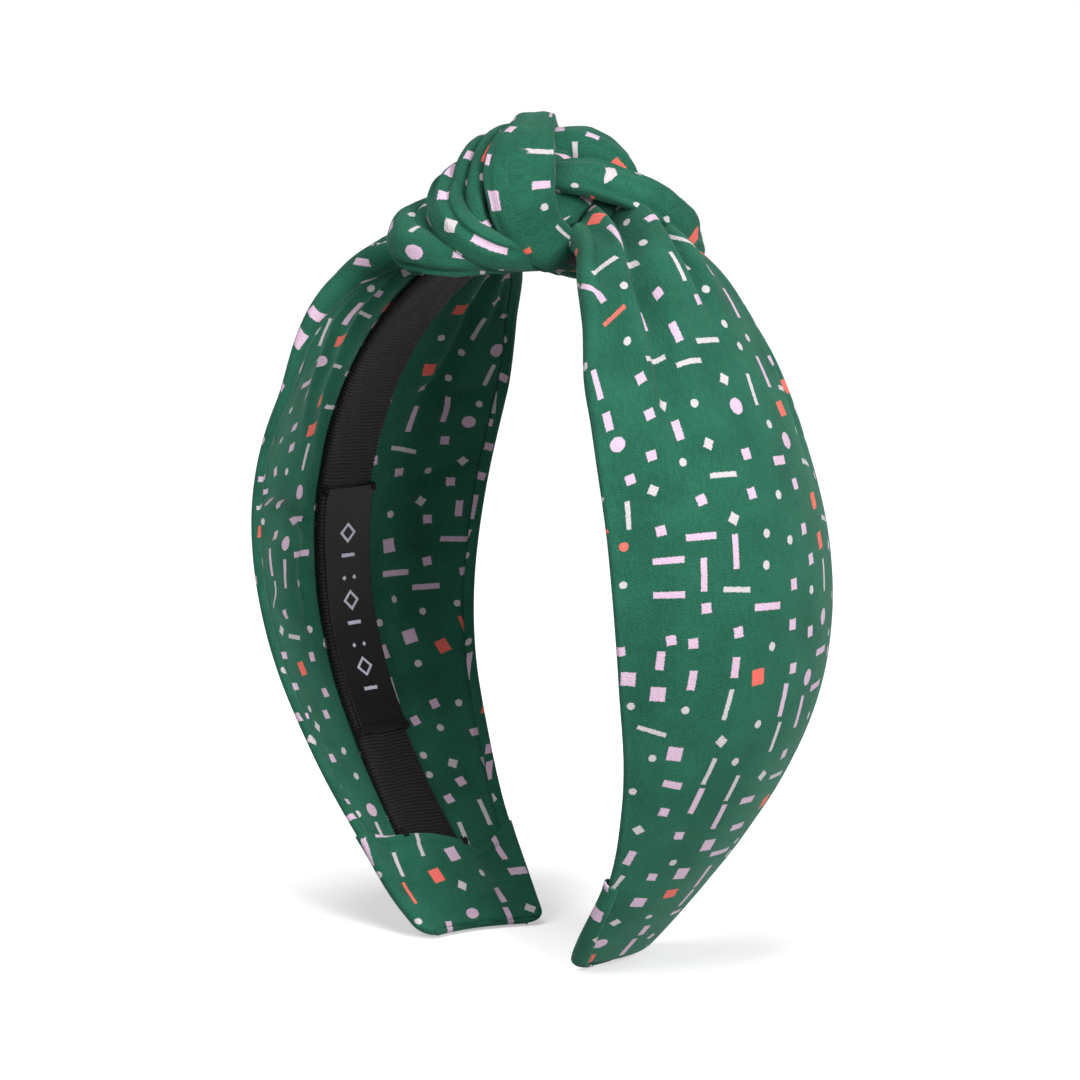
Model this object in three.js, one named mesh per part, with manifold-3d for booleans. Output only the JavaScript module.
// Knotted headband: a springy core wrapped in ribbon, with cupped fabric panels
// sewn round it on both arms, a tied knot at the crown and a fabric cuff on each tip.
// Millimetres, +Z up. +X is the right arm, -Y the front. It stands on its two tips.

import * as THREE from 'three';
import { mergeVertices } from 'three/addons/utils/BufferGeometryUtils.js';
import Module from 'manifold-3d';

const wasm = await Module();
wasm.setup();

// ---------------------------------------------------------------- driving dimensions

const GAP = 0.4;                      // air between neighbouring pieces
const CUFF_FLOOR = 1.2;               // thickness of the sole under each tip

// The band's centreline on each side, from the crown down to the tip, as arcs.
const BAND_ARCS = [
  { radius: 49.5, sweep: 35 },
  { radius: 72.1, sweep: 82 },
  { radius: 168.7, sweep: 19.9 },
];

const RIBBON_WIDTH = 14;
const RIBBON_THICK = 0.5;
const CORE_WIDTH = RIBBON_WIDTH - 2 * (RIBBON_THICK + GAP);
const CORE_THICK = 1.6;
const FLEX_ARC = 27;                  // where each arm flexes, along the band from the crown
const FLEX_SLIT = 0.5;                // slit in the core and ribbon at the flex line

// Half widths of the fabric panels: place along the band, towards the front, towards the rear.
const PANEL_WIDTHS = [
  { arc: 33, front: 19.5, rear: 24.0 },
  { arc: 45, front: 26.3, rear: 29.6 },
  { arc: 58, front: 30.8, rear: 32.1 },
  { arc: 86, front: 33.7, rear: 33.7 },
  { arc: 116, front: 30.7, rear: 31.6 },
  { arc: 144, front: 23.1, rear: 26.7 },
  { arc: 166, front: 17.6, rear: 21.4 },
  { arc: 181, front: 15.2, rear: 17.0 },
  { arc: 188, front: 13.6, rear: 14.4 },
  { arc: 192, front: 11.0, rear: 11.5 },
];
const PANEL_START = PANEL_WIDTHS[0].arc;
const PANEL_CUP = 7.6;                // how far a panel edge 28 mm out curls towards the head
const CUP_REACH = 28;
const INNER_PANEL_THICK = 0.7;
const INTERLINING_THICK = 0.7;
const OUTER_PANEL_THICK = 0.9;
const OUTER_BULGE = 2.6;              // extra fullness along the middle of the outer panel
const SEAM_ALLOWANCE = 4;             // the interlining stops this far inside the edges

// Toe-in: the rear edges of the arms stand closer together than the front ones.
const TOE_IN = [
  { arc: 0, degrees: 0 },
  { arc: 60, degrees: 4.0 },
  { arc: 135, degrees: -0.4 },
  { arc: 192, degrees: 12.8 },
];

const CUFF_START = 164;
const CUFF_THICK = 0.9;

const LABEL = { start: 86, length: 55.5, width: 13.4, thick: 0.4 };
const TACK = { length: 2.6, width: 0.7, thick: 0.5 };

// Strands of the knot: each is a flat band wrapped round the crown, open underneath.
const KNOT_CENTRE = 155.5;            // height of the middle of the knot
const SIDE_DROP = 4;                  // the side strands sit lower, where the band curves down
const STRANDS = {
  knot_over_strand: { x: [-2, 2], drop: 0, width: 17, thick: 5, deep: 17, tall: 16.5, wrap: [-50, 230] },
  knot_under_strand: { x: [0, 0], drop: 0, width: 18, thick: 3, deep: 12.2, tall: 12.2, wrap: [-44, 224] },
  knot_left_strand: {
    x: [-20.3, -19.7], drop: SIDE_DROP, width: 16, thick: 9, deep: 16.5, tall: 14.5, wrap: [-44, 224],
  },
  knot_right_strand: {
    x: [19.7, 20.3], drop: SIDE_DROP, width: 16, thick: 9, deep: 16.5, tall: 14.5, wrap: [-44, 224],
  },
};

// ---------------------------------------------------------------- materials

const greenCotton = { color: 0x2f6452, roughness: 0.9, metalness: 0 };
const paleInterlining = { color: 0xd9d6cc, roughness: 0.95, metalness: 0 };
const blackRibbon = { color: 0x141216, roughness: 0.8, metalness: 0 };
const blackSatin = { color: 0x19171c, roughness: 0.45, metalness: 0 };
const blackThread = { color: 0x0c0b0e, roughness: 0.7, metalness: 0 };
const corePlastic = { color: 0x2b2b2e, roughness: 0.5, metalness: 0 };

const headband = new THREE.Group();

function addPiece(name, geometry, finish) {
  const mesh = new THREE.Mesh(geometry, new THREE.MeshStandardMaterial(finish));
  mesh.name = name;
  headband.add(mesh);
  return mesh;
}

// ---------------------------------------------------------------- the band's line

// Value of a rounded line through named points, read at a place along the band.
function readAlong(rows, key, arc) {
  const curve = new THREE.CatmullRomCurve3(
    rows.map((row) => new THREE.Vector3(row.arc, row[key], 0)), false, 'centripetal');
  let low = 0;
  let high = 1;
  for (let step = 0; step < 30; step += 1) {
    const middle = (low + high) / 2;
    if (curve.getPoint(middle).x < arc) {
      low = middle;
    } else {
      high = middle;
    }
  }
  return curve.getPoint(low).y;
}

// Plane position and heading after a length of the band: x outwards, z measured from the crown.
function walkBand(arc) {
  let x = 0;
  let z = 0;
  let heading = 0;
  let left = arc;
  BAND_ARCS.forEach(({ radius, sweep }, index) => {
    const whole = radius * THREE.MathUtils.degToRad(sweep);
    const last = index === BAND_ARCS.length - 1;
    const run = last ? left : Math.min(left, whole);
    const next = heading + run / radius;
    x += radius * (Math.sin(next) - Math.sin(heading));
    z += radius * (Math.cos(next) - Math.cos(heading));
    heading = next;
    left -= run;
  });
  return { x, z, heading };
}

const BAND_LENGTH = BAND_ARCS.reduce(
  (sum, { radius, sweep }) => sum + radius * THREE.MathUtils.degToRad(sweep), 0);
const CROWN_HEIGHT = -walkBand(BAND_LENGTH).z;

// Frame of the band on one side: its point, the direction across it and its outward normal.
function bandFrame(side, arc) {
  const { x, z, heading } = walkBand(arc);
  const toe = THREE.MathUtils.degToRad(readAlong(TOE_IN, 'degrees', arc));
  const across = new THREE.Vector3(-side * Math.sin(toe), Math.cos(toe), 0);
  const outward = new THREE.Vector3(side * Math.sin(heading), 0, Math.cos(heading));
  outward.addScaledVector(across, -outward.dot(across)).normalize();
  return { point: new THREE.Vector3(side * x, 0, CROWN_HEIGHT + z), across, outward };
}

function onBand(side, arc, width, lift) {
  const { point, across, outward } = bandFrame(side, arc);
  return point.clone().addScaledVector(across, width).addScaledVector(outward, lift);
}

// Place along the band where a line lifted off it comes down to a height above the floor.
function arcAtHeight(lift, height) {
  let low = BAND_LENGTH - 40;
  let high = BAND_LENGTH + 10;
  for (let step = 0; step < 30; step += 1) {
    const middle = (low + high) / 2;
    if (onBand(1, middle, 0, lift).z > height) {
      low = middle;
    } else {
      high = middle;
    }
  }
  return low;
}

// ---------------------------------------------------------------- solids

function makeGeometry(corners, triangles) {
  const geometry = new THREE.BufferGeometry();
  geometry.setAttribute('position', new THREE.Float32BufferAttribute(corners.flatMap((p) => p.toArray()), 3));
  geometry.setIndex(triangles);
  return turnedOut(geometry);
}

function volumeOf(geometry) {
  const place = geometry.getAttribute('position');
  const index = geometry.getIndex();
  const [a, b, c] = [new THREE.Vector3(), new THREE.Vector3(), new THREE.Vector3()];
  let volume = 0;
  for (let i = 0; i < index.count; i += 3) {
    a.fromBufferAttribute(place, index.getX(i));
    b.fromBufferAttribute(place, index.getX(i + 1));
    c.fromBufferAttribute(place, index.getX(i + 2));
    volume += a.dot(b.cross(c)) / 6;
  }
  return volume;
}

// Mirrored pieces come out with their faces inwards: turn those over.
function turnedOut(geometry) {
  if (volumeOf(geometry) < 0) {
    const list = geometry.getIndex().array;
    for (let i = 0; i < list.length; i += 3) {
      [list[i], list[i + 1]] = [list[i + 1], list[i]];
    }
  }
  geometry.computeVertexNormals();
  return geometry;
}

// A sheet with thickness: a grid of rows and columns for each of its two faces.
function sheetSolid(rows, columns, placeOf) {
  const corners = [];
  for (const face of [0, 1]) {
    for (let row = 0; row <= rows; row += 1) {
      for (let column = 0; column <= columns; column += 1) {
        corners.push(placeOf(row / rows, column / columns, face));
      }
    }
  }
  const at = (face, row, column) => (face * (rows + 1) + row) * (columns + 1) + column;
  const triangles = [];
  const quad = (a, b, c, d) => triangles.push(a, b, c, a, c, d);
  for (let row = 0; row < rows; row += 1) {
    for (let column = 0; column < columns; column += 1) {
      quad(at(1, row, column), at(1, row + 1, column), at(1, row + 1, column + 1), at(1, row, column + 1));
      quad(at(0, row, column), at(0, row, column + 1), at(0, row + 1, column + 1), at(0, row + 1, column));
    }
    quad(at(0, row, 0), at(0, row + 1, 0), at(1, row + 1, 0), at(1, row, 0));
    quad(at(1, row, columns), at(1, row + 1, columns), at(0, row + 1, columns), at(0, row, columns));
  }
  for (let column = 0; column < columns; column += 1) {
    quad(at(0, 0, column + 1), at(0, 0, column), at(1, 0, column), at(1, 0, column + 1));
    quad(at(0, rows, column), at(0, rows, column + 1), at(1, rows, column + 1), at(1, rows, column));
  }
  return makeGeometry(corners, triangles);
}

// A closed ring of points carried along a line; solid, or hollow when given an inner ring too.
function ringSolid(steps, around, placeOf, hollow) {
  const corners = [];
  const triangles = [];
  const quad = (a, b, c, d) => triangles.push(a, b, c, a, c, d);
  const at = (layer, step, turn) => (layer * (steps + 1) + step) * around + (turn % around);
  for (let layer = 0; layer < (hollow ? 2 : 1); layer += 1) {
    for (let step = 0; step <= steps; step += 1) {
      for (let turn = 0; turn < around; turn += 1) {
        corners.push(placeOf(step / steps, turn / around, layer));
      }
    }
  }
  for (let step = 0; step < steps; step += 1) {
    for (let turn = 0; turn < around; turn += 1) {
      quad(at(0, step, turn), at(0, step, turn + 1), at(0, step + 1, turn + 1), at(0, step + 1, turn));
      if (hollow) {
        quad(at(1, step, turn), at(1, step + 1, turn), at(1, step + 1, turn + 1), at(1, step, turn + 1));
      }
    }
  }
  for (const [step, flip] of [[0, false], [steps, true]]) {
    for (let turn = 0; turn < around; turn += 1) {
      if (hollow) {
        const ring = [at(0, step, turn), at(1, step, turn), at(1, step, turn + 1), at(0, step, turn + 1)];
        quad(...(flip ? ring.reverse() : ring));
      } else if (turn >= 1 && turn < around - 1) {
        const fan = [at(0, step, 0), at(0, step, turn + 1), at(0, step, turn)];
        triangles.push(...(flip ? fan.reverse() : fan));
      }
    }
  }
  return makeGeometry(corners, triangles);
}

// ---------------------------------------------------------------- joining and cutting

function toManifold(geometry) {
  const bare = geometry.clone();
  bare.deleteAttribute('normal');
  const merged = mergeVertices(bare, 1e-4);
  return new wasm.Manifold(new wasm.Mesh({
    numProp: 3,
    vertProperties: new Float32Array(merged.getAttribute('position').array),
    triVerts: new Uint32Array(merged.getIndex().array),
  }));
}

function fromManifold(solid) {
  const mesh = solid.getMesh();
  const geometry = new THREE.BufferGeometry();
  geometry.setAttribute('position', new THREE.BufferAttribute(mesh.vertProperties, 3));
  geometry.setIndex(new THREE.BufferAttribute(mesh.triVerts, 1));
  geometry.computeVertexNormals();
  return geometry;
}

// ---------------------------------------------------------------- core and ribbon

// Corners of a flat rectangle in turn: width and lift as fractions of its half sizes.
const RECTANGLE = [[-1, -1], [1, -1], [1, 1], [-1, 1]];

function rectangleAlong(side, from, toLine, width, thick) {
  return (along, turn) => {
    const [w, n] = RECTANGLE[Math.round(turn * RECTANGLE.length) % RECTANGLE.length];
    const lift = n * thick / 2;
    const arc = from + along * (toLine(lift) - from);
    return onBand(side, arc, w * width / 2, lift);
  };
}

const tipEnd = (lift) => arcAtHeight(lift, CUFF_FLOOR + GAP);

function coreGeometry(side, from, toLine, steps) {
  const place = rectangleAlong(side, from, toLine, CORE_WIDTH, CORE_THICK);
  return ringSolid(steps, RECTANGLE.length, place, false);
}

// The ribbon is a flat sleeve, open at both ends, with the core inside it.
function ribbonGeometry(side, from, toLine, steps) {
  const outer = rectangleAlong(side, from, toLine, RIBBON_WIDTH, CORE_THICK + 2 * (GAP + RIBBON_THICK));
  const inner = rectangleAlong(side, from, toLine, CORE_WIDTH + 2 * GAP, CORE_THICK + 2 * GAP);
  return ringSolid(steps, RECTANGLE.length, (along, turn, layer) => (layer ? inner : outer)(along, turn), true);
}

// The crown stretch runs through the middle, from one flex line to the other.
function crownPlace(width, thick) {
  return (along, turn) => {
    const [w, n] = RECTANGLE[Math.round(turn * RECTANGLE.length) % RECTANGLE.length];
    const arc = (2 * along - 1) * FLEX_ARC;
    return onBand(Math.sign(arc) || 1, Math.abs(arc), w * width / 2, n * thick / 2);
  };
}

const CROWN_STEPS = 10;
const ARM_STEPS = 26;
const crownRibbonOuter = crownPlace(RIBBON_WIDTH, CORE_THICK + 2 * (GAP + RIBBON_THICK));
const crownRibbonInner = crownPlace(CORE_WIDTH + 2 * GAP, CORE_THICK + 2 * GAP);
addPiece('core_crown', ringSolid(CROWN_STEPS, 4, crownPlace(CORE_WIDTH, CORE_THICK), false), corePlastic);
addPiece('ribbon_crown', ringSolid(CROWN_STEPS, 4,
  (along, turn, layer) => (layer ? crownRibbonInner : crownRibbonOuter)(along, turn), true), blackRibbon);

// ---------------------------------------------------------------- fabric panels

const INNER_FACE = CORE_THICK / 2 + GAP + RIBBON_THICK + 2 * GAP;
const PANEL_LAYERS = {
  inner_panel: { base: INNER_FACE, thick: INNER_PANEL_THICK, bulge: 0, inset: 0, finish: greenCotton },
  interlining: {
    base: INNER_FACE + INNER_PANEL_THICK + GAP,
    thick: INTERLINING_THICK,
    bulge: 0,
    inset: SEAM_ALLOWANCE,
    finish: paleInterlining,
  },
  outer_panel: {
    base: INNER_FACE + INNER_PANEL_THICK + INTERLINING_THICK + 2 * GAP,
    thick: OUTER_PANEL_THICK,
    bulge: OUTER_BULGE,
    inset: 0,
    finish: greenCotton,
  },
};
const PANEL_ROWS = 22;
const PANEL_COLUMNS = 9;

function cupAt(width) {
  return -PANEL_CUP * (width / CUP_REACH) ** 2;
}

function panelGeometry(side, { base, thick, bulge, inset }) {
  return sheetSolid(PANEL_ROWS, PANEL_COLUMNS, (along, across, face) => {
    const roughArc = PANEL_START + inset + along * (BAND_LENGTH - PANEL_START - inset);
    const front = readAlong(PANEL_WIDTHS, 'front', roughArc) - inset;
    const rear = readAlong(PANEL_WIDTHS, 'rear', roughArc) - inset;
    const width = -front + across * (front + rear);
    const fullness = bulge * Math.sin(Math.PI * across) * Math.min(1, (1 - along) * 6);
    const lift = base + cupAt(width) + fullness + face * thick;
    const start = PANEL_START + inset;
    const arc = start + along * (arcAtHeight(lift, CUFF_FLOOR + GAP) - start);
    return onBand(side, arc, width, lift);
  });
}

// ---------------------------------------------------------------- tip cuffs

// The cuff is a pocket: an inner wall, two side walls and a sole, open on top and outwards.
function cuffBlock(side, from, floor, spread, lowLift, highLift) {
  return sheetSolid(8, 6, (along, across, face) => {
    const roughArc = from + along * (BAND_LENGTH - from);
    const front = readAlong(PANEL_WIDTHS, 'front', roughArc) + spread;
    const rear = readAlong(PANEL_WIDTHS, 'rear', roughArc) + spread;
    const width = -front + across * (front + rear);
    const lift = face ? highLift : lowLift;
    return onBand(side, from + along * (arcAtHeight(lift, floor) - from), width, lift);
  });
}

function cuffGeometry(side) {
  const innerWall = -(CORE_THICK / 2 + 2 * GAP + RIBBON_THICK);
  const outerLine = PANEL_LAYERS.outer_panel.base + OUTER_PANEL_THICK;
  const block = cuffBlock(side, CUFF_START, 0, GAP + CUFF_THICK, innerWall - CUFF_THICK, outerLine);
  const pocket = cuffBlock(side, CUFF_START - 5, CUFF_FLOOR, GAP, innerWall, outerLine + 5);
  return fromManifold(toManifold(block).subtract(toManifold(pocket)));
}

// ---------------------------------------------------------------- label and stitches

// A thin strip lying on the head side of the ribbon.
function stripGeometry(side, from, length, centre, width, lift, thick, steps) {
  return ringSolid(steps, RECTANGLE.length, (along, turn) => {
    const [w, n] = RECTANGLE[Math.round(turn * RECTANGLE.length) % RECTANGLE.length];
    return onBand(side, from + along * length, centre + w * width / 2, lift + n * thick / 2);
  }, false);
}

const RIBBON_HEAD_FACE = -(CORE_THICK / 2 + GAP + RIBBON_THICK);
const LABEL_LIFT = RIBBON_HEAD_FACE - GAP - LABEL.thick / 2;

function addLabel() {
  const side = -1;
  addPiece('woven_label',
    stripGeometry(side, LABEL.start, LABEL.length, 0, LABEL.width, LABEL_LIFT, LABEL.thick, 10), blackSatin);
  const lift = LABEL_LIFT - LABEL.thick / 2 - GAP - TACK.thick / 2;
  const across = LABEL.width / 2 - TACK.width;
  const places = {
    label_tack_top_front: [LABEL.start, -across],
    label_tack_top_rear: [LABEL.start, across],
    label_tack_bottom_front: [LABEL.start + LABEL.length - TACK.length, -across],
    label_tack_bottom_rear: [LABEL.start + LABEL.length - TACK.length, across],
  };
  for (const [name, [arc, width]] of Object.entries(places)) {
    addPiece(name, stripGeometry(side, arc, TACK.length, width, TACK.width, lift, TACK.thick, 1), blackThread);
  }
}

// ---------------------------------------------------------------- knot strands

// A flat strand wrapped round the crown, open underneath where the ribbon shows.
function strandGeometry({ x, drop, width, thick, deep, tall, wrap }) {
  const SIDES = 12;
  const STEPS = 22;
  return ringSolid(STEPS, SIDES, (along, turn) => {
    const angle = THREE.MathUtils.degToRad(THREE.MathUtils.lerp(wrap[0], wrap[1], along));
    const phase = 2 * Math.PI * turn;
    const radial = thick / 2 * Math.sign(Math.sin(phase)) * Math.abs(Math.sin(phase)) ** 0.6;
    const sideways = width / 2 * Math.sign(Math.cos(phase)) * Math.abs(Math.cos(phase)) ** 0.6;
    return new THREE.Vector3(
      THREE.MathUtils.lerp(x[0], x[1], along) + sideways,
      (deep + radial) * Math.cos(angle),
      KNOT_CENTRE - drop + (tall + radial) * Math.sin(angle));
  }, false);
}

for (const [name, strand] of Object.entries(STRANDS)) {
  addPiece(name, strandGeometry(strand), greenCotton);
}

// ---------------------------------------------------------------- the two arms

function addArm(side, sideName) {
  const start = FLEX_ARC + FLEX_SLIT;
  addPiece(`core_${sideName}_arm`, coreGeometry(side, start, tipEnd, ARM_STEPS), corePlastic);
  addPiece(`ribbon_${sideName}_arm`, ribbonGeometry(side, start, tipEnd, ARM_STEPS), blackRibbon);
  for (const [layerName, layer] of Object.entries(PANEL_LAYERS)) {
    addPiece(`${sideName}_${layerName}`, panelGeometry(side, layer), layer.finish);
  }
  addPiece(`${sideName}_tip_cuff`, cuffGeometry(side), greenCotton);
  const across = RIBBON_WIDTH / 2 - TACK.width;
  const lift = RIBBON_HEAD_FACE - GAP - TACK.thick / 2;
  const arc = CUFF_START - TACK.length - 2 * GAP;
  for (const [place, width] of [['front', -across], ['rear', across]]) {
    addPiece(`${sideName}_cuff_tack_${place}`,
      stripGeometry(side, arc, TACK.length, width, TACK.width, lift, TACK.thick, 1), blackThread);
  }
}

addArm(-1, 'left');
addLabel();
addArm(1, 'right');

// The origin is the middle of the bounding box, on the floor.
const bounds = new THREE.Box3().setFromObject(headband);
const middle = bounds.getCenter(new THREE.Vector3());
headband.position.set(-middle.x, -middle.y, -bounds.min.z);

export default headband;
